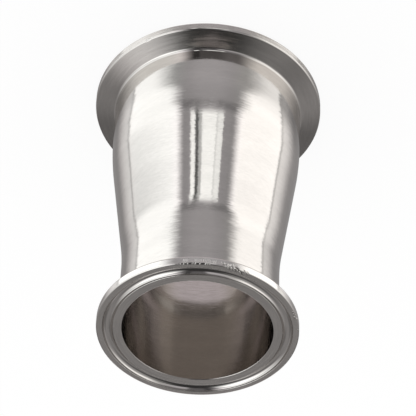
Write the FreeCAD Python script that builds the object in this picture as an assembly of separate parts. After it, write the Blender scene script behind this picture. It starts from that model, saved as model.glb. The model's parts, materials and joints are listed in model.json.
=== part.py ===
import FreeCAD
import Part
import math
import os

# Sanitary ferrule adapter: a concentric reducer tube with a clamp ferrule at each end, one
# solid of stainless steel. It stands on its large ferrule's face, which lies in the plane
# z = 0. The flow axis is +Z, with the small ferrule on top.

# Driving sizes, in millimetres and degrees

# Tube
TUBE_WALL = 1.6
LARGE_TUBE_OD = 63.5
SMALL_TUBE_OD = 51.0

# Lengths along the axis, with the cone measured between its lines' corners on the outer wall
LARGE_END_LENGTH = 27.0
CONE_LENGTH = 45.5
SMALL_END_LENGTH = 29.5

# Bend radii of the outer wall, where the cone runs into the straight ends
LARGE_KNUCKLE_RADIUS = 120.0
SMALL_KNUCKLE_RADIUS = 80.0

# Flanges: reach from the tube's outer wall to the rim, the straight rim, and the clamp's bevel
LARGE_FLANGE_REACH = 7.0
SMALL_FLANGE_REACH = 6.5
RIM_THICKNESS = 2.85
BEVEL_ANGLE = 20.0

# Gasket groove in each face, a round-bottomed ring set in from the rim
GROOVE_INSET = 3.6
GROOVE_RADIUS = 1.7
GROOVE_DEPTH = 1.4

# Rounded edges
NECK_FILLET = 1.1
RIM_FACE_ROUND = 0.4
RIM_BACK_ROUND = 0.6
BORE_EDGE_ROUND = 0.2
GROOVE_LIP_ROUND = 0.15

# Worked out from the driving sizes

OVERALL_LENGTH = LARGE_END_LENGTH + CONE_LENGTH + SMALL_END_LENGTH
LARGE_TUBE_R = LARGE_TUBE_OD / 2
SMALL_TUBE_R = SMALL_TUBE_OD / 2
LARGE_BORE_R = LARGE_TUBE_R - TUBE_WALL
SMALL_BORE_R = SMALL_TUBE_R - TUBE_WALL
LARGE_RIM_R = LARGE_TUBE_R + LARGE_FLANGE_REACH
SMALL_RIM_R = SMALL_TUBE_R + SMALL_FLANGE_REACH

NODE = "adapter_body"


def section_point(r, z):
    """A point of the half section, drawn in the XZ plane."""
    return FreeCAD.Vector(r, 0, z)


def line(start, end):
    return Part.LineSegment(start, end).toShape()


def arc(start, middle, end):
    return Part.Arc(start, middle, end).toShape()


def corner_arc(before, corner, after, radius):
    """Start, middle and end of the arc that rounds a corner, tangent to both of its sides."""
    back = (before - corner).normalize()
    ahead = (after - corner).normalize()
    half_angle = back.getAngle(ahead) / 2
    setback = radius / math.tan(half_angle)
    corner_to_arc = radius / math.sin(half_angle) - radius
    middle = corner + (back + ahead).normalize() * corner_to_arc
    return corner + back * setback, middle, corner + ahead * setback


def rounded_path(start, corners, end):
    """Edges from start to end, by way of corners that are each given as (r, z, radius)."""
    points = [start] + [section_point(r, z) for r, z, _ in corners] + [end]
    edges = []
    reached = start
    for i, (_, _, radius) in enumerate(corners, start=1):
        arc_start, middle, arc_end = corner_arc(points[i - 1], points[i], points[i + 1], radius)
        edges.append(line(reached, arc_start))
        edges.append(arc(arc_start, middle, arc_end))
        reached = arc_end
    edges.append(line(reached, end))
    return edges


def groove_section(rim_r, face_z, outward):
    """Outer lip, edges and inner lip of the gasket groove in the face whose normal is outward."""
    bottom = section_point(rim_r - GROOVE_INSET, face_z - outward * GROOVE_DEPTH)
    centre = bottom + section_point(0, outward * GROOVE_RADIUS)

    # The rounded lips touch both the face and the groove's own arc, so their centres lie
    # below the face and one radius outside that arc.
    reach = GROOVE_RADIUS + GROOVE_LIP_ROUND
    drop = GROOVE_RADIUS - GROOVE_DEPTH + GROOVE_LIP_ROUND
    spread = math.sqrt(reach**2 - drop**2)

    on_face = []
    lip_middles = []
    on_groove = []
    for side in (1, -1):
        lip_centre = centre + section_point(side * spread, -outward * drop)
        to_face = section_point(0, outward)
        to_groove = (centre - lip_centre).normalize()
        on_face.append(lip_centre + to_face * GROOVE_LIP_ROUND)
        lip_middles.append(lip_centre + (to_face + to_groove).normalize() * GROOVE_LIP_ROUND)
        on_groove.append(lip_centre + to_groove * GROOVE_LIP_ROUND)

    edges = [
        arc(on_face[0], lip_middles[0], on_groove[0]),
        arc(on_groove[0], bottom, on_groove[1]),
        arc(on_groove[1], lip_middles[1], on_face[1]),
    ]
    return on_face[0], edges, on_face[1]


def outer_corners():
    """The outside, from the large ferrule's rim up to the small one's."""
    large_bevel_rise = LARGE_FLANGE_REACH * math.tan(math.radians(BEVEL_ANGLE))
    small_bevel_rise = SMALL_FLANGE_REACH * math.tan(math.radians(BEVEL_ANGLE))
    small_rim_z = OVERALL_LENGTH - RIM_THICKNESS
    return [
        (LARGE_RIM_R, 0, RIM_FACE_ROUND),
        (LARGE_RIM_R, RIM_THICKNESS, RIM_BACK_ROUND),
        (LARGE_TUBE_R, RIM_THICKNESS + large_bevel_rise, NECK_FILLET),
        (LARGE_TUBE_R, LARGE_END_LENGTH, LARGE_KNUCKLE_RADIUS),
        (SMALL_TUBE_R, OVERALL_LENGTH - SMALL_END_LENGTH, SMALL_KNUCKLE_RADIUS),
        (SMALL_TUBE_R, small_rim_z - small_bevel_rise, NECK_FILLET),
        (SMALL_RIM_R, small_rim_z, RIM_BACK_ROUND),
        (SMALL_RIM_R, OVERALL_LENGTH, RIM_FACE_ROUND),
    ]


def bore_corners():
    """The bore, from the small ferrule's face down to the large one's."""
    # The cone's wall is as thick as the tube's, so the bore's corners sit lower than the
    # outer wall's, and each pair of knuckles has one centre.
    cone_angle = math.atan2(LARGE_TUBE_R - SMALL_TUBE_R, CONE_LENGTH)
    corner_drop = TUBE_WALL * math.tan(cone_angle / 2)
    small_corner_z = OVERALL_LENGTH - SMALL_END_LENGTH - corner_drop
    large_corner_z = LARGE_END_LENGTH - corner_drop
    return [
        (SMALL_BORE_R, OVERALL_LENGTH, BORE_EDGE_ROUND),
        (SMALL_BORE_R, small_corner_z, SMALL_KNUCKLE_RADIUS + TUBE_WALL),
        (LARGE_BORE_R, large_corner_z, LARGE_KNUCKLE_RADIUS - TUBE_WALL),
        (LARGE_BORE_R, 0, BORE_EDGE_ROUND),
    ]


def adapter_body():
    """The whole adapter: its half section, turned once around the flow axis."""
    large_outer_lip, large_groove, large_inner_lip = groove_section(LARGE_RIM_R, 0, -1)
    small_outer_lip, small_groove, small_inner_lip = groove_section(SMALL_RIM_R, OVERALL_LENGTH, 1)
    outside = rounded_path(large_outer_lip, outer_corners(), small_outer_lip)
    bore = rounded_path(small_inner_lip, bore_corners(), large_inner_lip)
    section = Part.Wire(outside + small_groove + bore + large_groove[::-1])
    return Part.Face(section).revolve(section_point(0, 0), FreeCAD.Vector(0, 0, 1), 360)


os.makedirs("parts", exist_ok=True)
adapter = adapter_body()
adapter.exportStep(f"parts/{NODE}.step")
print(f"{NODE}: valid {adapter.isValid()}, {len(adapter.Faces)} faces, {adapter.Volume / 1000:.2f} cm3")
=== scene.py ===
import json
import math

import bpy
from mathutils import Matrix, Vector


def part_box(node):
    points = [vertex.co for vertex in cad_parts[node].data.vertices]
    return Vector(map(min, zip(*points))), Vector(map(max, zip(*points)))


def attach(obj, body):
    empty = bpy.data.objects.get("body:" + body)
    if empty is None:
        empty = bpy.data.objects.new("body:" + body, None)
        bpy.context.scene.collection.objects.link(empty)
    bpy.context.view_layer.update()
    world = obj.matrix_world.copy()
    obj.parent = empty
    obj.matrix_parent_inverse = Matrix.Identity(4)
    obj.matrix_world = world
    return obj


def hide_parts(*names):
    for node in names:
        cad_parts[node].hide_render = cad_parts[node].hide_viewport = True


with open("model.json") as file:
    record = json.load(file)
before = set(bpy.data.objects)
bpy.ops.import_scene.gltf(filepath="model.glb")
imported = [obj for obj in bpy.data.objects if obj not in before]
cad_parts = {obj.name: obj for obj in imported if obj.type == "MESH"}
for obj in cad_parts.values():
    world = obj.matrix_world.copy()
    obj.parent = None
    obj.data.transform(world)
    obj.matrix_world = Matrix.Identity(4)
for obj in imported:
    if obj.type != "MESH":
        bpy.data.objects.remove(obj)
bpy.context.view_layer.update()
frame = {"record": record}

# Ferrule adapter, standing on its large ferrule with the flow axis along +Z. Lengths are in
# metres and angles in degrees, unless a comment says otherwise. Angles around the axis start at
# -Y and grow towards +X.

MM = 0.001
NODE = "adapter_body"


def mount_radius(name):
    """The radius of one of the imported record's round mounts."""
    row = next(m for m in frame["record"]["mounts"] if m["name"] == name)
    return row["dims"]["r_mm"] * MM


# The half section's sizes
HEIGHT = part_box(NODE)[1][2]
LARGE_RIM_R = mount_radius("large_rim")
SMALL_RIM_R = mount_radius("small_rim")
LARGE_BORE_R = mount_radius("large_bore")
SMALL_BORE_R = mount_radius("small_bore")
TUBE_WALL = 1.6 * MM
LARGE_TUBE_R = LARGE_BORE_R + TUBE_WALL
SMALL_TUBE_R = SMALL_BORE_R + TUBE_WALL

LARGE_END_LENGTH = 27.0 * MM
SMALL_END_LENGTH = 29.5 * MM
LARGE_KNUCKLE_RADIUS = 120.0 * MM
SMALL_KNUCKLE_RADIUS = 80.0 * MM

RIM_THICKNESS = 2.85 * MM
BEVEL_ANGLE = 20.0
GROOVE_INSET = 3.6 * MM
GROOVE_RADIUS = 1.7 * MM
GROOVE_DEPTH = 1.4 * MM

NECK_FILLET = 1.1 * MM
RIM_FACE_ROUND = 0.4 * MM
RIM_BACK_ROUND = 0.6 * MM
BORE_EDGE_ROUND = 0.2 * MM
GROOVE_LIP_ROUND = 0.15 * MM

# How far the machined finish of each end runs from its face along the tube
LARGE_NECK_BAND = 9.3 * MM
SMALL_NECK_BAND = 14.0 * MM

# Mesh steps in degrees: around the axis, and along the small arcs and the knuckles, which are
# the arcs that turn by less than KNUCKLE_TURN
AROUND_STEP = 1.0
SMALL_ARC_STEP = 12.0
KNUCKLE_STEP = 1.0
KNUCKLE_TURN = 15.0

# Near the nicks each step around is cut into this many, and the rings are this far apart
FINE_PARTS = 6
FINE_SPACING = 0.15 * MM

# Points closer than this are one, and normals with a larger dot product than this are parallel
SAME_POINT = 1e-9
PARALLEL = 0.9999

# A nick with painted shade in its hollow is dark where it lies deeper than the first, and a clean
# one is bright, fresh metal with a painted glint, where it lies deeper than the second
PAINTED_SHADE_DEPTH = 0.06 * MM
SCUFF_GLINT_DEPTH = 0.015 * MM


def alike(angles, *shape):
    """Nicks of one shape at several angles."""
    return [(angle, *shape) for angle in angles]


# Nicks are rows of (angle, place, width, run, length, slant, depth). The place and the length
# run across the edge in mm, and the place is 0 in the middle of the edge's round and grows
# towards the bore. The width runs around the axis in mm, and the run is how much of it each
# sloped end takes. The slant is how far around the axis the nick shifts for each mm across the
# edge, and the depth is in mm.
RIM_CHIPS = [
    (12.2, 0.1, 1.5, 0.2, 0.45, 0.0, 0.11),
    (9.9, 0.1, 0.9, 0.2, 0.5, 0.3, 0.13),
    (8.0, 0.1, 1.1, 0.2, 0.45, 0.0, 0.12),
    (5.6, 0.1, 1.3, 0.2, 0.45, -0.3, 0.11),
    (3.4, 0.0, 0.8, 0.2, 0.6, 0.2, 0.14),
    (1.4, 0.1, 1.3, 0.2, 0.45, 0.0, 0.11),
    (-1.4, 0.05, 1.7, 0.2, 0.5, 0.2, 0.13),
    (-4.6, 0.05, 0.9, 0.2, 0.5, -0.4, 0.12),
]
RIM_SLASHES = [
    (-13.2, -0.6, 0.6, 0.15, 1.6, -1.0, 0.15),
    (-15.0, -0.3, 0.6, 0.15, 2.0, -1.0, 0.18),
    (-17.0, -0.2, 0.55, 0.15, 1.8, -1.1, 0.17),
    (-18.7, -0.2, 0.7, 0.15, 2.1, -1.0, 0.21),
    (-20.4, -0.4, 0.55, 0.15, 1.7, -1.1, 0.17),
    (-22.2, 0.0, 0.8, 0.15, 2.5, -1.2, 0.22),
    (-25.8, -0.1, 0.55, 0.15, 1.6, -1.0, 0.15),
    (-27.3, -0.2, 0.45, 0.15, 1.1, -1.0, 0.10),
]
RIM_RUBS = [
    *alike((9.4, 8.6, 7.7, 7.1), -1.2, 0.40, 0.20, 1.8, 0.05, 0.05),
    *alike((3.0, 2.3, 1.5, 0.8, 0.2, -0.6, -1.3, -1.9, -2.7), -1.25, 0.42, 0.21, 1.9, -0.05, 0.06),
    *alike((-3.4, -4.2, -4.8, -5.5, -6.3, -7.0, -7.6, -8.4), -1.15, 0.42, 0.21, 1.6, 0.1, 0.05),
    *alike((-12.4, -14.2, -16.1, -17.9, -19.6, -21.0), -0.9, 0.34, 0.17, 1.5, -1.0, 0.08),
]
RIM_SIDE_NICKS = [
    (-68.6, 0.35, 0.5, 0.25, 0.7, 0.3, 0.09),
    (-70.9, 0.25, 0.8, 0.4, 0.9, 0.4, 0.14),
    (-73.9, 0.15, 1.2, 0.8, 1.5, 0.9, 0.18),
    (-84.2, 0.2, 0.4, 0.2, 0.9, 0.0, 0.05),
]
BORE_EDGE_NICK = (-124.0, 0.0, 0.8, 0.4, 0.9, 0.2, 0.12)
LARGE_RIM_DENT = (33.4, 0.0, 2.2, 0.8, 1.0, 0.0, 0.08)
LARGE_RIM_CHIP = (32.3, -0.5, 1.2, 0.3, 0.5, -0.2, 0.075)

# The nicked edges: corner, how far from it the fine rings go, sectors of fine steps, the clean
# nicks, which are fresh metal with a painted glint, and the nicks with painted shade
NICKED_EDGES = [
    (
        (SMALL_RIM_R, HEIGHT),
        2.4 * MM,
        ((-93, -68), (-30, 15)),
        RIM_RUBS + RIM_SIDE_NICKS,
        RIM_CHIPS + RIM_SLASHES,
    ),
    ((SMALL_BORE_R, HEIGHT), 0.9 * MM, ((-127, -121),), [BORE_EDGE_NICK], []),
    ((LARGE_RIM_R, RIM_THICKNESS), 1.2 * MM, ((29, 36),), [LARGE_RIM_DENT], [LARGE_RIM_CHIP]),
]


class Section:
    """The half section as rings (r, z), their outward normals, and the finish between them."""

    def __init__(self):
        self.points = []
        self.normals = []
        self.finishes = []

    def add(self, point, normal, finish):
        """A ring, with the finish of the band that leads to it."""
        if self.points and (self.points[-1] - point).length < SAME_POINT:
            return
        self.points.append(point)
        self.normals.append(normal)
        self.finishes.append(finish)

    def arc(self, centre, radius, start, end, convex, step, finish):
        """An arc about centre between two angles in degrees."""
        count = max(2, round(abs(end - start) / step))
        for i in range(count + 1):
            angle = math.radians(start + (end - start) * i / count)
            spoke = Vector((math.cos(angle), math.sin(angle)))
            self.add(centre + spoke * radius, spoke if convex else -spoke, finish)

    def corner(self, before, at, after, radius, side_finish, arc_finish):
        """The straight side that leads to a corner, then the corner's tangent arc."""
        back = (Vector(before) - Vector(at)).normalized()
        ahead = (Vector(after) - Vector(at)).normalized()
        half_angle = back.angle(ahead) / 2
        to_centre = (back + ahead).normalized()
        centre = Vector(at) + to_centre * (radius / math.sin(half_angle))
        start = Vector(at) + back * (radius / math.tan(half_angle)) - centre
        turn = 180 - 2 * math.degrees(half_angle)
        convex = back.y * ahead.x - back.x * ahead.y > 0
        start_angle = math.degrees(math.atan2(start.y, start.x))
        end_angle = start_angle + (turn if convex else -turn)
        step = KNUCKLE_STEP if turn < KNUCKLE_TURN else SMALL_ARC_STEP
        spoke = start.normalized()
        self.add(centre + start, spoke if convex else -spoke, side_finish)
        self.arc(centre, radius, start_angle, end_angle, convex, step, arc_finish)

    def along(self, point, normal, finish):
        """A ring in the middle of a straight side, where the finish changes."""
        self.add(Vector(point), Vector(normal), finish)

    def refine(self, corner, reach):
        """More rings on the straight sides within reach of a corner."""
        rows = list(zip(self.points, self.normals, self.finishes))
        self.points, self.normals, self.finishes = [], [], []
        last, last_normal, _ = rows[-1]
        for point, normal, finish in rows:
            side = point - last
            count = round(side.length / FINE_SPACING)
            for i in range(1, count):
                between = last + side * (i / count)
                near = (between - corner).length < reach
                if near and normal.dot(last_normal) > PARALLEL:
                    self.add(between, normal, finish)
            self.add(point, normal, finish)
            last, last_normal = point, normal

    def places(self, corner, reach):
        """How far along the section the rings in reach are from a corner's round, in mm."""
        near = [i for i, point in enumerate(self.points) if (point - corner).length < reach]
        middle = min(near, key=lambda i: (self.points[i] - corner).length)
        places = {middle: 0.0}
        for i in range(middle + 1, near[-1] + 1):
            places[i] = places[i - 1] + (self.points[i] - self.points[i - 1]).length / MM
        for i in range(middle - 1, near[0] - 1, -1):
            places[i] = places[i + 1] - (self.points[i] - self.points[i + 1]).length / MM
        return places


def face_groove(section, centre_r, face_z):
    """The gasket groove of an upper face, from its outer lip inwards."""
    rise = GROOVE_RADIUS - GROOVE_DEPTH
    reach = GROOVE_RADIUS + GROOVE_LIP_ROUND
    drop = rise + GROOVE_LIP_ROUND
    spread = math.sqrt(reach**2 - drop**2)
    slope = math.degrees(math.atan2(drop, spread))
    centre = Vector((centre_r, face_z + rise))
    outer = Vector((centre_r + spread, face_z - GROOVE_LIP_ROUND))
    inner = Vector((centre_r - spread, face_z - GROOVE_LIP_ROUND))
    section.add(outer + Vector((0, GROOVE_LIP_ROUND)), Vector((0, 1)), "land")
    section.arc(outer, GROOVE_LIP_ROUND, 90, 180 - slope, True, SMALL_ARC_STEP, "groove")
    section.arc(centre, GROOVE_RADIUS, -slope, slope - 180, False, SMALL_ARC_STEP / 2, "groove")
    section.arc(inner, GROOVE_LIP_ROUND, slope, 90, True, SMALL_ARC_STEP, "groove")


def half_section():
    """The whole half section, from the large face up the outside and down through the bore.

    A corner's row is (r, z, radius of its round, finish of the side that leads to it, finish of
    its round)."""
    bevel_rise = math.tan(math.radians(BEVEL_ANGLE))
    large_neck_z = RIM_THICKNESS + (LARGE_RIM_R - LARGE_TUBE_R) * bevel_rise
    small_rim_z = HEIGHT - RIM_THICKNESS
    small_neck_z = small_rim_z - (SMALL_RIM_R - SMALL_TUBE_R) * bevel_rise
    small_end_z = HEIGHT - SMALL_END_LENGTH
    outside = [
        (LARGE_RIM_R, 0, RIM_FACE_ROUND, "land", "edge"),
        (LARGE_RIM_R, RIM_THICKNESS, RIM_BACK_ROUND, "rim", "bevel"),
        (LARGE_TUBE_R, large_neck_z, NECK_FILLET, "bevel", "neck"),
        (LARGE_TUBE_R, LARGE_END_LENGTH, LARGE_KNUCKLE_RADIUS, "brushed", "brushed"),
        (SMALL_TUBE_R, small_end_z, SMALL_KNUCKLE_RADIUS, "cone", "brushed"),
        (SMALL_TUBE_R, small_neck_z, NECK_FILLET, "front_neck", "front_neck"),
        (SMALL_RIM_R, small_rim_z, RIM_BACK_ROUND, "bevel", "bevel"),
        (SMALL_RIM_R, HEIGHT, RIM_FACE_ROUND, "front_rim", "edge"),
    ]

    # The bore's corners sit lower than the outside's, because the cone's wall is as thick as
    # the tube's.
    cone_length = HEIGHT - LARGE_END_LENGTH - SMALL_END_LENGTH
    cone_angle = math.atan2(LARGE_TUBE_R - SMALL_TUBE_R, cone_length)
    drop = TUBE_WALL * math.tan(cone_angle / 2)
    small_bend = SMALL_KNUCKLE_RADIUS + TUBE_WALL
    large_bend = LARGE_KNUCKLE_RADIUS - TUBE_WALL
    bore = [
        (SMALL_BORE_R, HEIGHT, BORE_EDGE_ROUND, "land", "edge"),
        (SMALL_BORE_R, small_end_z - drop, small_bend, "bore", "bore"),
        (LARGE_BORE_R, LARGE_END_LENGTH - drop, large_bend, "bore", "bore"),
        (LARGE_BORE_R, 0, BORE_EDGE_ROUND, "bore", "edge"),
    ]
    large_groove_r = LARGE_RIM_R - GROOVE_INSET
    small_groove_r = SMALL_RIM_R - GROOVE_INSET

    section = Section()
    corners = [(large_groove_r, 0)] + [c[:2] for c in outside] + [(small_groove_r, HEIGHT)]
    for i, (r, z, radius, side, arc) in enumerate(outside, start=1):
        if z == LARGE_END_LENGTH:
            section.along((LARGE_TUBE_R, LARGE_NECK_BAND), (1, 0), "neck")
        if side == "front_neck":
            section.along((SMALL_TUBE_R, HEIGHT - SMALL_NECK_BAND), (1, 0), "brushed")
        section.corner(corners[i - 1], (r, z), corners[i + 1], radius, side, arc)
    face_groove(section, small_groove_r, HEIGHT)
    corners = [(small_groove_r, HEIGHT)] + [c[:2] for c in bore] + [(large_groove_r, 0)]
    for i, (r, z, radius, side, arc) in enumerate(bore, start=1):
        section.corner(corners[i - 1], (r, z), corners[i + 1], radius, side, arc)

    # The large face's groove is drawn as an upper one and turned over.
    lower = Section()
    face_groove(lower, large_groove_r, 0)
    rows = list(zip(lower.points, lower.normals, lower.finishes))[::-1]
    for i, (point, normal, _) in enumerate(rows):
        finish = "land" if i == 0 else "groove"
        section.add(Vector((point.x, -point.y)), Vector((normal.x, -normal.y)), finish)
    section.finishes[0] = "land"
    return section


def nick_depth(nicks, angle, radius, place):
    """How deep the nicks are at an angle and a place across the edge, in metres."""
    deepest = 0.0
    for at, middle, width, run, length, slant, depth in nicks:
        across = place - middle
        around = math.radians(angle - at) * radius / MM - slant * across
        share = min(1, (width / 2 - abs(around)) / run)
        bowl = 1 - (2 * across / length) ** 2
        if share > 0 and bowl > 0:
            deepest = max(deepest, depth * share * bowl)
    return deepest * MM


class TurnedBody:
    """The section turned around the axis, with finer steps and nicks near the nicked edges."""

    def __init__(self, section):
        self.vertices = []
        self.normals = []
        self.cut = set()
        self.painted_shade = set()
        self.scuffed_glint = set()
        self.faces = []
        self.finishes = []
        for corner, reach, *_ in NICKED_EDGES:
            section.refine(Vector(corner), reach)
        self.edges = [
            (section.places(Vector(corner), reach), *rest) for corner, reach, *rest in NICKED_EDGES
        ]
        rings = [self.ring(section, i) for i in range(len(section.points))]
        for i, finish in enumerate(section.finishes):
            self.band(rings[i - 1], rings[i], finish)

    def ring(self, section, i):
        """A ring's vertices, in a list for each step around from one whole step to the next."""
        point, normal = section.points[i], section.normals[i]
        place, sectors, clean, painted_shade = 0.0, (), (), ()
        for places, *rest in self.edges:
            if i in places:
                place, (sectors, clean, painted_shade) = places[i], rest
        cells = []
        first = len(self.vertices)
        for step in range(round(360 / AROUND_STEP)):
            start = step * AROUND_STEP - 180
            parts = FINE_PARTS if any(low <= start < high for low, high in sectors) else 1
            numbers = []
            for k in range(parts):
                angle = start + AROUND_STEP * k / parts
                shade_depth = nick_depth(painted_shade, angle, point.x, place)
                scuff_glint = nick_depth(clean, angle, point.x, place)
                depth = max(shade_depth, scuff_glint)
                numbers.append(len(self.vertices))
                if depth > 0:
                    self.cut.add(numbers[-1])
                # A deep nick's vertices get the painted shade
                if shade_depth > PAINTED_SHADE_DEPTH:
                    self.painted_shade.add(numbers[-1])
                # A scuff's vertices get the fresh metal with its painted glint
                if scuff_glint > SCUFF_GLINT_DEPTH:
                    self.scuffed_glint.add(numbers[-1])
                self.vertex(point - normal * depth, normal, angle)
            cells.append(numbers)
        for cell, following in zip(cells, cells[1:] + [[first]]):
            cell.append(following[0])
        return cells

    def vertex(self, point, normal, angle):
        x, y = math.sin(math.radians(angle)), -math.cos(math.radians(angle))
        self.vertices.append((point.x * x, point.x * y, point.y))
        self.normals.append((normal.x * x, normal.x * y, normal.y))

    def band(self, below, above, finish):
        """The faces between two rings."""
        made = []
        for low, high in zip(below, above):
            if len(low) == len(high):
                made += zip(low, low[1:], high[1:], high)
            else:
                made.append((*low, *reversed(high)))
        for face in made:
            self.faces.append(face)
            # Faces in a deep nick get painted shade, and faces in a scuff fresh metal with a
            # painted glint
            if self.painted_shade.issuperset(face):
                self.finishes.append("nick")
            elif self.scuffed_glint.issuperset(face):
                self.finishes.append("scuff_glint")
            else:
                self.finishes.append(finish)

    def corner_normals(self, mesh):
        """A normal for each face corner: the section's own, or the face's where a nick is cut."""
        normals = []
        for polygon in mesh.polygons:
            if self.cut.isdisjoint(polygon.vertices):
                normals += [self.normals[v] for v in polygon.vertices]
            else:
                normals += [polygon.normal[:]] * len(polygon.vertices)
        return normals


class Graph:
    """Short calls for a shader's nodes. An input is a number, a colour or a node's output."""

    def __init__(self, tree):
        self.tree = tree
        tree.nodes.clear()

    def node(self, kind, inputs=(), **settings):
        made = self.tree.nodes.new(kind)
        for name, value in settings.items():
            setattr(made, name, value)
        for name, value in dict(inputs).items():
            self.put(made.inputs[name], value)
        return made

    def put(self, socket, value):
        if isinstance(value, bpy.types.NodeSocket):
            self.tree.links.new(value, socket)
        else:
            socket.default_value = value

    def math(self, operation, *values):
        return self.node("ShaderNodeMath", enumerate(values), operation=operation).outputs[0]

    def product(self, first, *others):
        for value in others:
            first = self.math("MULTIPLY", first, value)
        return first

    def ramp(self, value, start, end, low=0.0, high=1.0):
        """A smooth step: low up to start, high from end on."""
        inputs = {"Value": value, "From Min": start, "From Max": end, "To Min": low, "To Max": high}
        return self.node("ShaderNodeMapRange", inputs, interpolation_type="SMOOTHSTEP").outputs[0]

    def fall(self, value, start, end):
        """1 up to start, and down to 0 at end."""
        return self.ramp(value, start, end, 1.0, 0.0)

    def window(self, value, start, end, soft):
        """1 between start and end, with both edges softened over soft."""
        rise = self.ramp(value, start - soft / 2, start + soft / 2)
        return self.product(rise, self.fall(value, end - soft / 2, end + soft / 2))

    def blend(self, amount, below, above):
        """below where amount is 0, and above where it is 1."""
        inputs = {"Factor": amount, "A": below, "B": above}
        return self.node("ShaderNodeMix", inputs, data_type="FLOAT").outputs[0]

    def blend_colour(self, amount, below, above):
        """The same for colours."""
        inputs = {0: amount, 6: below, 7: above}
        return self.node("ShaderNodeMix", inputs, data_type="RGBA").outputs[2]

    def vector(self, operation, *vectors):
        made = self.node("ShaderNodeVectorMath", enumerate(vectors), operation=operation)
        return made.outputs[0]

    def scaled(self, vector, factor):
        inputs = {0: vector, "Scale": factor}
        return self.node("ShaderNodeVectorMath", inputs, operation="SCALE").outputs[0]


# Noise: its octaves and their strength, the range that nearly all of it lies in, and its middle
NOISE_DETAIL = 2.0
HAIR_DETAIL = 3.0
NOISE_ROUGHNESS = 0.6
NOISE_LOW = 0.3
NOISE_HIGH = 0.7
NOISE_MIDDLE = 0.5

# Shifts along the axis, in the noise's own units, that set the layers of noise apart
GRAIN_SHIFT = 4.1
BAND_SHIFT = 7.3
HAIR_SHIFT = 9.7
TILT_SHIFT = 11.9
TILT_SHIFT_STEP = 5.7

# The grain makes the metal rougher where its noise passes from the first to the second
GRAIN_FROM = 0.45
GRAIN_TO = 0.72

# Fine hairs of colour, this many times as far apart as the grain's lines, and broad faint bands
HAIR_SPACING = 1.7
BAND_TURNS = 1.2
BAND_SPACING = 5.0 * MM
BAND_SHADE = 0.03

# A quarter turn, which lays the gloss's spread across the lines
ANISOTROPIC_ROTATION = 0.25


def around_axis(graph):
    """Object coordinates as a point of the unit circle about the axis, and a length across it.

    The length is radius plus height, so its lines are circles on every turned surface."""
    place = graph.node("ShaderNodeTexCoord").outputs["Object"]
    x, y, z = graph.node("ShaderNodeSeparateXYZ", {"Vector": place}).outputs
    squares = graph.math("ADD", graph.math("POWER", x, 2), graph.math("POWER", y, 2))
    radius = graph.math("SQRT", squares)
    cosine = graph.math("DIVIDE", x, radius)
    sine = graph.math("DIVIDE", y, radius)
    return cosine, sine, graph.math("ADD", radius, z)


def streaks(graph, axis, turns, spacing, shift, detail=NOISE_DETAIL):
    """Noise drawn out around the axis: lines spacing metres apart, about 1 / turns radians long."""
    cosine, sine, across = axis
    x = graph.product(cosine, turns)
    y = graph.product(sine, turns)
    z = graph.math("MULTIPLY_ADD", across, 1 / spacing, shift)
    vector = graph.node("ShaderNodeCombineXYZ", {"X": x, "Y": y, "Z": z}).outputs[0]
    inputs = {"Vector": vector, "Scale": 1.0, "Detail": detail, "Roughness": NOISE_ROUGHNESS}
    return graph.node("ShaderNodeTexNoise", inputs).outputs[0]


def metal(name, roughness, anisotropy, tilts, grain, colour):
    """Stainless steel with fine lines around the axis."""
    material = bpy.data.materials.new(name)
    material.use_nodes = True
    graph = Graph(material.node_tree)
    axis = around_axis(graph)
    turns, spacing, gain, shade = grain
    lines = streaks(graph, axis, turns, spacing * MM, GRAIN_SHIFT)
    rough = graph.ramp(lines, GRAIN_FROM, GRAIN_TO, roughness, roughness * gain)
    bands = streaks(graph, axis, BAND_TURNS, BAND_SPACING, BAND_SHIFT)
    bands = graph.ramp(bands, NOISE_LOW, NOISE_HIGH, 1 - BAND_SHADE, 1 + BAND_SHADE)
    hairs = streaks(graph, axis, turns, spacing * HAIR_SPACING * MM, HAIR_SHIFT, HAIR_DETAIL)
    hairs = graph.ramp(hairs, NOISE_LOW, NOISE_HIGH, 1 + shade, 1 - shade)
    tint = graph.scaled(colour, graph.product(bands, hairs))

    normal = graph.node("ShaderNodeNewGeometry").outputs["Normal"]
    around = graph.node("ShaderNodeTangent", direction_type="RADIAL", axis="Z").outputs[0]
    across = graph.vector("CROSS_PRODUCT", normal, around)
    bent = normal
    for i, (direction, turns, spacing, swing) in enumerate(tilts):
        noise = streaks(graph, axis, turns, spacing * MM, TILT_SHIFT + TILT_SHIFT_STEP * i)
        amount = graph.product(graph.math("SUBTRACT", noise, NOISE_MIDDLE), swing / NOISE_MIDDLE)
        tilt = graph.scaled(across if direction == "across" else around, amount)
        bent = graph.vector("ADD", bent, tilt)
    shader = graph.node(
        "ShaderNodeBsdfPrincipled",
        {
            "Base Color": tint,
            "Metallic": 1.0,
            "Roughness": rough,
            "Anisotropic": anisotropy,
            "Anisotropic Rotation": ANISOTROPIC_ROTATION,
            "Normal": graph.vector("NORMALIZE", bent),
            "Tangent": around,
        },
    )
    graph.node("ShaderNodeOutputMaterial", {"Surface": shader.outputs[0]})
    return material


STEEL = (0.64, 0.615, 0.59)
BRIGHT_STEEL = (0.70, 0.675, 0.65)
POLISHED_STEEL = (0.75, 0.725, 0.70)
# The scuffs' colour is fresh metal, lighter than the rest, with a painted glint on top
FRESH_STEEL_PAINTED_GLINT = (0.70, 0.68, 0.66)
# The bore's steel is darker than the outside's: painted shade inside the bore, on the same steel
BORE_PAINTED_SHADE_STEEL = (0.455, 0.427, 0.402)
# The nicks' dark colour is painted shade in their hollows
NICK_PAINTED_SHADE = (0.16, 0.15, 0.14)

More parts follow.
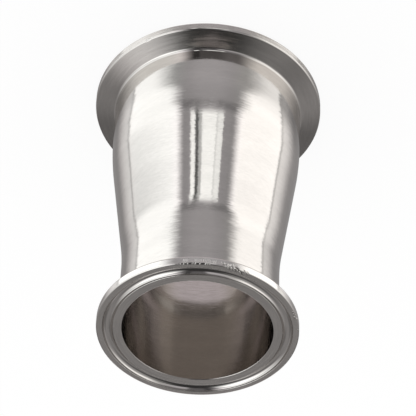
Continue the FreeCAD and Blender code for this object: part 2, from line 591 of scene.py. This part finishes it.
# Noise lines that tilt the surface across or around the axis, in rows of (direction, turns,
# spacing in mm, swing in radians)
CONE_TILTS = (
    ("around", 7.0, 0.30, 0.012),
    ("around", 3.0, 2.4, 0.006),
    ("across", 9.0, 0.30, 0.010),
    ("around", 18.0, 0.25, 0.028),
)
BRUSH_TILTS = (*CONE_TILTS, ("around", 10.0, 0.6, 0.020), ("around", 5.0, 0.5, 0.045))
POLISH_TILTS = (("across", 2.0, 0.5, 0.008), ("around", 2.0, 0.5, 0.008))
BEVEL_TILTS = (("across", 1.5, 0.4, 0.02), ("around", 1.5, 0.6, 0.02))
RIM_TILTS = (("across", 6.0, 0.25, 0.06), ("around", 9.0, 0.5, 0.03))
FRONT_RIM_TILTS = (("across", 6.0, 0.25, 0.03), ("around", 9.0, 0.5, 0.03))
FACE_TILTS = (("across", 1.5, 0.4, 0.03), ("around", 1.5, 0.4, 0.02))
BORE_TILTS = (("across", 3.0, 0.8, 0.012), ("around", 3.0, 0.8, 0.012))

# Each finish: the material's name, roughness, anisotropy, tilts, grain and colour. The grain is
# (turns, spacing in mm, how much rougher its roughest lines are, how much lighter or darker
# its hairs are).
FINISHES = {
    "brushed": ("brushed_tube", 0.075, 0.4, BRUSH_TILTS, (14.0, 0.22, 2.0, 0.015), STEEL),
    "cone": ("brushed_cone", 0.06, 0.4, CONE_TILTS, (14.0, 0.22, 1.9, 0.03), STEEL),
    "neck": ("polished_neck", 0.06, 0.3, POLISH_TILTS, (6.0, 0.3, 1.6, 0.03), STEEL),
    "front_neck": ("brushed_neck", 0.07, 0.4, BRUSH_TILTS, (9.0, 0.3, 1.6, 0.03), STEEL),
    "bevel": ("turned_bevel", 0.09, 0.4, BEVEL_TILTS, (5.0, 0.3, 1.8, 0.04), STEEL),
    "rim": ("turned_rim", 0.14, 0.7, RIM_TILTS, (14.0, 0.25, 1.8, 0.05), STEEL),
    "front_rim": (
        "polished_rim", 0.085, 0.6, FRONT_RIM_TILTS, (14.0, 0.25, 1.6, 0.04), POLISHED_STEEL
    ),
    "edge": ("worn_edge", 0.08, 0.2, POLISH_TILTS, (4.0, 0.3, 1.6, 0.03), BRIGHT_STEEL),
    "land": ("turned_face", 0.2, 0.4, FACE_TILTS, (2.5, 0.3, 1.2, 0.06), STEEL),
    "groove": ("polished_groove", 0.09, 0.3, POLISH_TILTS, (4.0, 0.3, 1.5, 0.03), BRIGHT_STEEL),
    # The bore's darker colour is painted shade inside the bore
    "bore": ("smooth_bore_painted_shade", 0.12, 0.3, BORE_TILTS, (8.0, 0.3, 1.8, 0.04), BORE_PAINTED_SHADE_STEEL),
    # The nick's dark colour is painted shade in its hollow
    "nick": ("nick_painted_shade", 0.3, 0.0, FACE_TILTS, (9.0, 0.2, 1.6, 0.05), NICK_PAINTED_SHADE),
    # The scuff's lighter colour is fresh metal with a painted glint
    "scuff_glint": ("fresh_scuff_painted_glint", 0.4, 0.0, FACE_TILTS, (9.0, 0.2, 1.2, 0.05), FRESH_STEEL_PAINTED_GLINT),
}


def make_adapter():
    body = TurnedBody(half_section())
    mesh = bpy.data.meshes.new("ferrule_adapter")
    mesh.from_pydata(body.vertices, [], body.faces)
    for row in FINISHES.values():
        mesh.materials.append(metal(*row))
    slots = {finish: i for i, finish in enumerate(FINISHES)}
    mesh.polygons.foreach_set("material_index", [slots[finish] for finish in body.finishes])
    mesh.polygons.foreach_set("use_smooth", [True] * len(body.faces))
    mesh.update()
    mesh.normals_split_custom_set(body.corner_normals(mesh))
    adapter = bpy.data.objects.new("ferrule_adapter", mesh)
    bpy.context.collection.objects.link(adapter)
    return adapter


# The studio that the metal shows is laid out by direction, in degrees, and each of its lights
# has a strength where the plain white background is 1. The functions below lay each light over
# the ones before it. A row (start, end, low, high) is a smooth step. Left and right are the
# picture's, so left is towards +X.

# Strengths of the room, as pairs nearer the front and further behind it, and of the backdrop,
# the pale foot of the room and its ceiling
ROOM_LOW_LIGHTS = (0.42, 0.30)
ROOM_MIDDLE_LIGHTS = (0.3, 0.15)
ROOM_HIGH_LIGHTS = (0.13, 0.25)
BACKDROP_LIGHT = 1.0
FOOT_LIGHT = 0.46
CEILING_LIGHT = 0.035

# Strengths of the front's dim middle, low down from its centre outwards and higher up from right
# to left, and how much the two cards take from it
FRONT_LIGHTS = (0.48, 0.42)
FRONT_UPPER_LIGHTS = (0.2, 0.13)
LOW_CARD_SHADES = (0.15, 0.4)
HIGH_CARD_SHADE = 0.55

# Strengths of the lamp, the panels and the ground
LAMP_LIGHT = 1.45
LAMP_RIGHT_LIGHT = 1.28
LAMP_GAP_LIGHT = 0.12
LAMP_STRIPE_LIGHT = 0.68
LAMP_LINE_LIGHT = 0.93
OVERHEAD_LEFT_LIGHTS = (1.75, 1.25)
OVERHEAD_RIGHT_LIGHTS = (0.4, 0.3)
FRONT_PANEL_LIGHT = 0.5
GROUND_LIGHT = 0.52
GROUND_LEFT_LIGHT = 0.66
GROUND_FRONT_LEFT_LIGHT = 0.43
PATCH_LIGHT = 0.78
GROUND_CARD_LIGHT = 0.04

# The two large side boxes. Azimuths count from the front towards the box's own side. The inner
# edge has an azimuth and a softness, at the bottom and higher up, and shifts outwards below two
# bends. The box dims above a line that drops by fade_slope for each degree outwards. Beyond its
# outer edge, which has a thin dim line, its light spills onto the wall.
BOX_BENDS = ((-38, -33), (-46.5, -42))
BOX_BEND_SOFTS = (5.0, 8.0)
BOX_FADE_AZIMUTH = 52
BOX_FADE = (-32.5, -25.5)
BOX_LINE_LIGHT = 0.3
BOX_LINE_SHARE = 0.45
BOX_BACK_LIGHT = 0.30
LEFT_BOX = {
    "side": 1.0,
    "inner_edge": 32.0,
    "inner_soft": 6.0,
    "upper_inner_edge": 26.0,
    "upper_inner_soft": 9.0,
    "bend_shifts": (6.5, 19.0),
    "bottom": (-55, -44.5),
    "top": (15, 45),
    "light": 1.57,
    "faded_light": 0.92,
    "fade_slope": 0.125,
    "upper_light": 1.3,
    "outer_edge": 106.0,
    "spill": (110, 142, 0.93, 0.32),
    "spill_bottom": (-52, -44, 0.35, 1.0),
}
RIGHT_BOX = {
    "side": -1.0,
    "inner_edge": 35.5,
    "inner_soft": 6.0,
    "upper_inner_edge": 42.0,
    "upper_inner_soft": 14.0,
    "bend_shifts": (9.5, 19.0),
    "bottom": (-54.5, -40.5),
    "top": (28, 60),
    "light": 1.57,
    "faded_light": 1.3,
    "fade_slope": 0.06,
    "upper_light": 1.25,
    "outer_edge": 100.5,
    "spill": (104, 136, 1.06, 0.34),
    "spill_bottom": (-47, -40, 0.5, 1.0),
}

# The light's colour by azimuth, and the colours of the lamp, the ground and the patch below
COLOURS_AROUND = (
    (-130, (1.03, 1.0, 1.0)),
    (-95, (1.01, 1.0, 0.985)),
    (-45, (1.01, 1.0, 0.985)),
    (-25, (1.03, 1.0, 1.03)),
    (25, (1.03, 1.0, 1.03)),
    (45, (0.98, 1.0, 1.0)),
    (95, (0.98, 1.0, 1.0)),
    (130, (1.03, 1.0, 1.0)),
)
LAMP_COLOUR = (0.985, 1.0, 0.99, 1)
GROUND_COLOUR = (1.08, 1.0, 0.94, 1)
PATCH_COLOUR = (1.08, 1.0, 1.06, 1)
WHITE = (1, 1, 1, 1)


class Directions:
    """Where a ray goes, in degrees.

    azimuth counts around from the front towards +X, away is the same to either side, and
    elevation counts up. lean and depth are tilts from straight up towards +X and +Y."""

    def __init__(self, graph):
        ray = graph.node("ShaderNodeTexCoord").outputs["Generated"]
        x, y, z = graph.node("ShaderNodeSeparateXYZ", {"Vector": ray}).outputs
        to_degrees = 180 / math.pi
        front = graph.product(y, -1.0)
        self.azimuth = graph.product(graph.math("ARCTAN2", x, front), to_degrees)
        self.elevation = graph.product(graph.math("ARCSINE", z), to_degrees)
        self.lean = graph.product(graph.math("ARCTAN2", x, z), to_degrees)
        self.depth = graph.product(graph.math("ARCSINE", y), to_degrees)
        self.away = graph.math("ABSOLUTE", self.azimuth)


def room(graph, to):
    """The dim room, darker behind and above, with a pale backdrop low behind."""
    low = graph.ramp(to.away, 95, 145, *ROOM_LOW_LIGHTS)
    low = graph.product(low, graph.ramp(to.elevation, -50, -42, 0.5, 1.0))
    foot = graph.product(graph.ramp(to.away, 105, 125), graph.fall(to.elevation, -47.6, -46.2))
    low = graph.blend(foot, low, FOOT_LIGHT)
    middle = graph.ramp(to.away, 105, 150, *ROOM_MIDDLE_LIGHTS)
    backdrop = graph.ramp(to.away, 158, 168)
    backdrop = graph.product(backdrop, graph.window(to.elevation, -32, 24, 10))
    middle = graph.blend(backdrop, middle, BACKDROP_LIGHT)
    high = graph.ramp(to.away, 90, 150, *ROOM_HIGH_LIGHTS)
    high = graph.ramp(to.elevation, 40, 66, high, CEILING_LIGHT)
    light = graph.blend(graph.ramp(to.elevation, -38, -20), low, middle)
    return graph.blend(graph.ramp(to.elevation, 25, 38), light, high)


def front_middle(graph, to, light):
    """The dim middle of the front, between the side boxes, with two darker cards."""
    middle = graph.ramp(to.away, 8, 32, *FRONT_LIGHTS)
    middle = graph.product(middle, graph.ramp(to.elevation, -46, -42, 1.0, 0.88))
    low_card = graph.window(to.elevation, -36.8, -33.2, 1.6)
    low_card = graph.product(low_card, graph.ramp(to.away, 6, 16, *LOW_CARD_SHADES))
    middle = graph.product(middle, graph.math("SUBTRACT", 1.0, low_card))

    upper = graph.ramp(to.azimuth, -20, -8, *FRONT_UPPER_LIGHTS)
    high_card = graph.window(to.azimuth, 11.5, 18.5, 3.0)
    high_card = graph.product(high_card, graph.ramp(to.elevation, -28, -18))
    upper = graph.product(upper, graph.math("MULTIPLY_ADD", high_card, -HIGH_CARD_SHADE, 1.0))
    middle = graph.blend(graph.ramp(to.elevation, -30, -10), middle, upper)
    extent = graph.product(graph.fall(to.away, 95, 100), graph.fall(to.elevation, 40, 60))
    return graph.blend(extent, light, middle)


def add_lamp(graph, to, light):
    """A lamp low in front, with a dark gap, a dimmer stripe beside it and a thin line.

    Its sides lean a little further down. Also gives the lamp's extent."""
    left = graph.math("ADD", to.azimuth, graph.ramp(to.elevation, -31.4, -28.2, -0.9, 1.3))
    right = graph.math("MULTIPLY_ADD", to.elevation, -0.25, -6.35)
    right = graph.math("ADD", to.azimuth, right)
    lamp = graph.blend(graph.window(left, 9.7, 13.7, 0.5), LAMP_LIGHT, LAMP_GAP_LIGHT)
    lamp = graph.blend(graph.window(left, 6.0, 9.7, 0.5), lamp, LAMP_STRIPE_LIGHT)
    lamp = graph.blend(graph.fall(right, -9.6, -9.0), lamp, LAMP_RIGHT_LIGHT)
    lamp = graph.blend(graph.window(right, -10.6, -9.4, 0.4), lamp, LAMP_LINE_LIGHT)
    extent = graph.product(
        graph.fall(left, 18.7, 19.3),
        graph.ramp(right, -17.7, -17.1),
        graph.window(to.elevation, -31.8, -8, 2.4),
    )
    return graph.blend(extent, light, lamp), extent


def side_box(graph, to, light, box):
    """A large soft box on one side, wider apart further down and dimmer higher up."""
    outwards = graph.product(to.azimuth, box["side"])
    inner = graph.ramp(to.elevation, -28, -20, box["inner_edge"], box["upper_inner_edge"])
    soft = graph.ramp(to.elevation, -28, -20, box["inner_soft"], box["upper_inner_soft"])
    for span, shift, more_soft in zip(BOX_BENDS, box["bend_shifts"], BOX_BEND_SOFTS):
        bend = graph.fall(to.elevation, *span)
        inner = graph.math("MULTIPLY_ADD", bend, shift, inner)
        soft = graph.math("MULTIPLY_ADD", bend, more_soft, soft)
    into_box = graph.math("DIVIDE", graph.math("SUBTRACT", outwards, inner), soft)
    extent = graph.product(
        graph.ramp(into_box, -1.0, 1.0),
        graph.ramp(to.elevation, *box["bottom"]),
        graph.fall(to.elevation, *box["top"]),
        graph.fall(outwards, 132, 150),
    )

    fade_line = graph.math("SUBTRACT", outwards, BOX_FADE_AZIMUTH)
    fade_line = graph.math("MULTIPLY_ADD", fade_line, box["fade_slope"], to.elevation)
    front = graph.ramp(fade_line, *BOX_FADE, box["light"], box["faded_light"])
    spill = graph.ramp(outwards, *box["spill"])
    spill = graph.product(spill, graph.ramp(to.elevation, *box["spill_bottom"]))
    edge = box["outer_edge"]
    line = graph.product(graph.window(outwards, edge - 0.5, edge + 2.5, 1.6), BOX_LINE_SHARE)
    spill = graph.blend(line, spill, BOX_LINE_LIGHT)
    lower = graph.blend(graph.ramp(outwards, edge - 3, edge), front, spill)
    upper = graph.ramp(outwards, 76, 126, box["upper_light"], BOX_BACK_LIGHT)
    return graph.blend(extent, light, graph.blend(graph.ramp(to.elevation, -28, -15), lower, upper))


def overhead_left(graph, to, light):
    """A bright panel overhead on the left that runs from front to back."""
    extent = graph.product(
        graph.ramp(to.lean, 6, 32),
        graph.fall(to.lean, 48, 64),
        graph.ramp(to.azimuth, 22, 38),
        graph.ramp(to.depth, -45, -30),
        graph.fall(to.depth, 2, 34),
    )
    return graph.blend(extent, light, graph.ramp(to.depth, -5, 10, *OVERHEAD_LEFT_LIGHTS))


def overhead_right(graph, to, light):
    """A dim panel overhead on the right, and a lower one in front of it."""
    extent = graph.product(
        graph.fall(to.lean, -28, -6),
        graph.ramp(to.lean, -64, -48),
        graph.ramp(to.depth, -20, -6),
        graph.fall(to.depth, 4, 30),
    )
    light = graph.blend(extent, light, graph.ramp(to.lean, -40, -20, *OVERHEAD_RIGHT_LIGHTS))
    extent = graph.product(
        graph.fall(to.azimuth, -12, -5),
        graph.ramp(to.azimuth, -62, -40),
        graph.ramp(to.elevation, 6, 34),
        graph.fall(to.elevation, 52, 64),
    )
    return graph.blend(extent, light, FRONT_PANEL_LIGHT)


def add_ground(graph, to, light):
    """The ground, with a lighter patch straight below and a dark card in front.

    The bore shows the patch, and the large flange's bevel shows the card by way of the small
    flange. Also gives the ground's extent and the patch's."""
    ground = graph.fall(to.elevation, -52, -48.5)
    streak = graph.window(to.azimuth, 62, 102, 16)
    streak = graph.blend(streak, GROUND_LIGHT, GROUND_LEFT_LIGHT)
    front_left = graph.window(to.azimuth, 26, 52, 12)
    streak = graph.blend(front_left, streak, GROUND_FRONT_LEFT_LIGHT)
    light = graph.blend(ground, light, streak)
    patch = graph.product(graph.fall(to.elevation, -55.4, -53.0), graph.fall(to.away, 35, 80))
    light = graph.blend(patch, light, PATCH_LIGHT)
    card = graph.window(to.elevation, -53.5, -50.9, 1.2)
    card = graph.product(card, graph.fall(to.away, 24, 36))
    return graph.blend(card, light, GROUND_CARD_LIGHT), ground, patch


def colour_around(graph, to):
    """The light's colour by azimuth: neutral in front, warmer to the right, cooler to the left."""
    place = graph.math("MULTIPLY_ADD", to.azimuth, 1 / 360, 0.5)
    tint = graph.node("ShaderNodeValToRGB", {"Fac": place})
    elements = tint.color_ramp.elements
    while len(elements) < len(COLOURS_AROUND):
        elements.new(0.5)
    for element, (azimuth, colour) in zip(elements, COLOURS_AROUND):
        element.position = azimuth / 360 + 0.5
        element.color = (*colour, 1)
    return tint.outputs[0]


def set_world():
    """Plain white all round, and a soft studio that stands before it in the metal's reflections."""
    world = bpy.data.worlds.new("studio")
    bpy.context.scene.world = world
    world.use_nodes = True
    graph = Graph(world.node_tree)
    to = Directions(graph)
    light = room(graph, to)
    light = front_middle(graph, to, light)
    light, lamp = add_lamp(graph, to, light)
    light = side_box(graph, to, light, LEFT_BOX)
    light = side_box(graph, to, light, RIGHT_BOX)
    light = overhead_left(graph, to, light)
    light = overhead_right(graph, to, light)
    light, ground, patch = add_ground(graph, to, light)

    colour = colour_around(graph, to)
    colour = graph.blend_colour(lamp, colour, LAMP_COLOUR)
    colour = graph.blend_colour(ground, colour, GROUND_COLOUR)
    colour = graph.blend_colour(patch, colour, PATCH_COLOUR)
    studio = graph.node("ShaderNodeBackground", {"Color": colour, "Strength": light})
    plain = graph.node("ShaderNodeBackground", {"Color": WHITE, "Strength": 1.0})
    glossy = graph.node("ShaderNodeLightPath").outputs["Is Glossy Ray"]
    inputs = {0: glossy, 1: plain.outputs[0], 2: studio.outputs[0]}
    mixed = graph.node("ShaderNodeMixShader", inputs)
    graph.node("ShaderNodeOutputWorld", {"Surface": mixed.outputs[0]})


# The floor reaches this far to each side. To the camera this share of it is plain white, and
# the rest is lit paper that shows the shadow.
FLOOR_REACH = 6.0
FLOOR_WHITE_SHARE = 0.85


def make_floor():
    """A plain white floor. It is left out of the metal, which shows the studio instead."""
    mesh = bpy.data.meshes.new("floor")
    signs = ((-1, -1), (1, -1), (1, 1), (-1, 1))
    corners = [(x * FLOOR_REACH, y * FLOOR_REACH, 0) for x, y in signs]
    mesh.from_pydata(corners, [], [(0, 1, 2, 3)])
    floor = bpy.data.objects.new("floor", mesh)
    bpy.context.collection.objects.link(floor)
    material = bpy.data.materials.new("white_floor")
    material.use_nodes = True
    graph = Graph(material.node_tree)
    paper = graph.node("ShaderNodeBsdfDiffuse", {"Color": WHITE})
    white = graph.node("ShaderNodeEmission", {"Color": WHITE, "Strength": 1.0})
    to_camera = graph.node("ShaderNodeLightPath").outputs["Is Camera Ray"]
    share = graph.product(to_camera, FLOOR_WHITE_SHARE)
    inputs = {0: share, 1: paper.outputs[0], 2: white.outputs[0]}
    mixed = graph.node("ShaderNodeMixShader", inputs)
    graph.node("ShaderNodeOutputMaterial", {"Surface": mixed.outputs[0]})
    mesh.materials.append(material)
    floor.visible_glossy = False


# The camera looks at this point from in front and above. It is rolled over, so that the small
# ferrule is at the bottom of the picture. The lens and the sensor are in mm.
CAMERA_AIM = Vector((-1.54, 0, 48.3)) * MM
CAMERA_DISTANCE = 728.4 * MM
CAMERA_ELEVATION = 43.49
CAMERA_ROLL = 180 + 2.65
CAMERA_LENS = 190.26
CAMERA_SENSOR = 36.0


def set_camera():
    elevation = math.radians(CAMERA_ELEVATION)
    back = Vector((0, -math.cos(elevation), math.sin(elevation)))
    facing = back.to_track_quat("Z", "Y").to_matrix().to_4x4()
    roll = Matrix.Rotation(math.radians(CAMERA_ROLL), 4, "Z")
    camera_data = bpy.data.cameras.new("camera")
    camera_data.sensor_width = CAMERA_SENSOR
    camera_data.lens = CAMERA_LENS
    camera = bpy.data.objects.new("camera", camera_data)
    bpy.context.collection.objects.link(camera)
    place = Matrix.Translation(CAMERA_AIM + CAMERA_DISTANCE * back)
    camera.matrix_world = place @ facing @ roll
    bpy.context.scene.camera = camera


bpy.context.scene.view_settings.view_transform = "Standard"
adapter = make_adapter()
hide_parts(NODE)
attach(adapter, "root")
set_world()
make_floor()
set_camera()
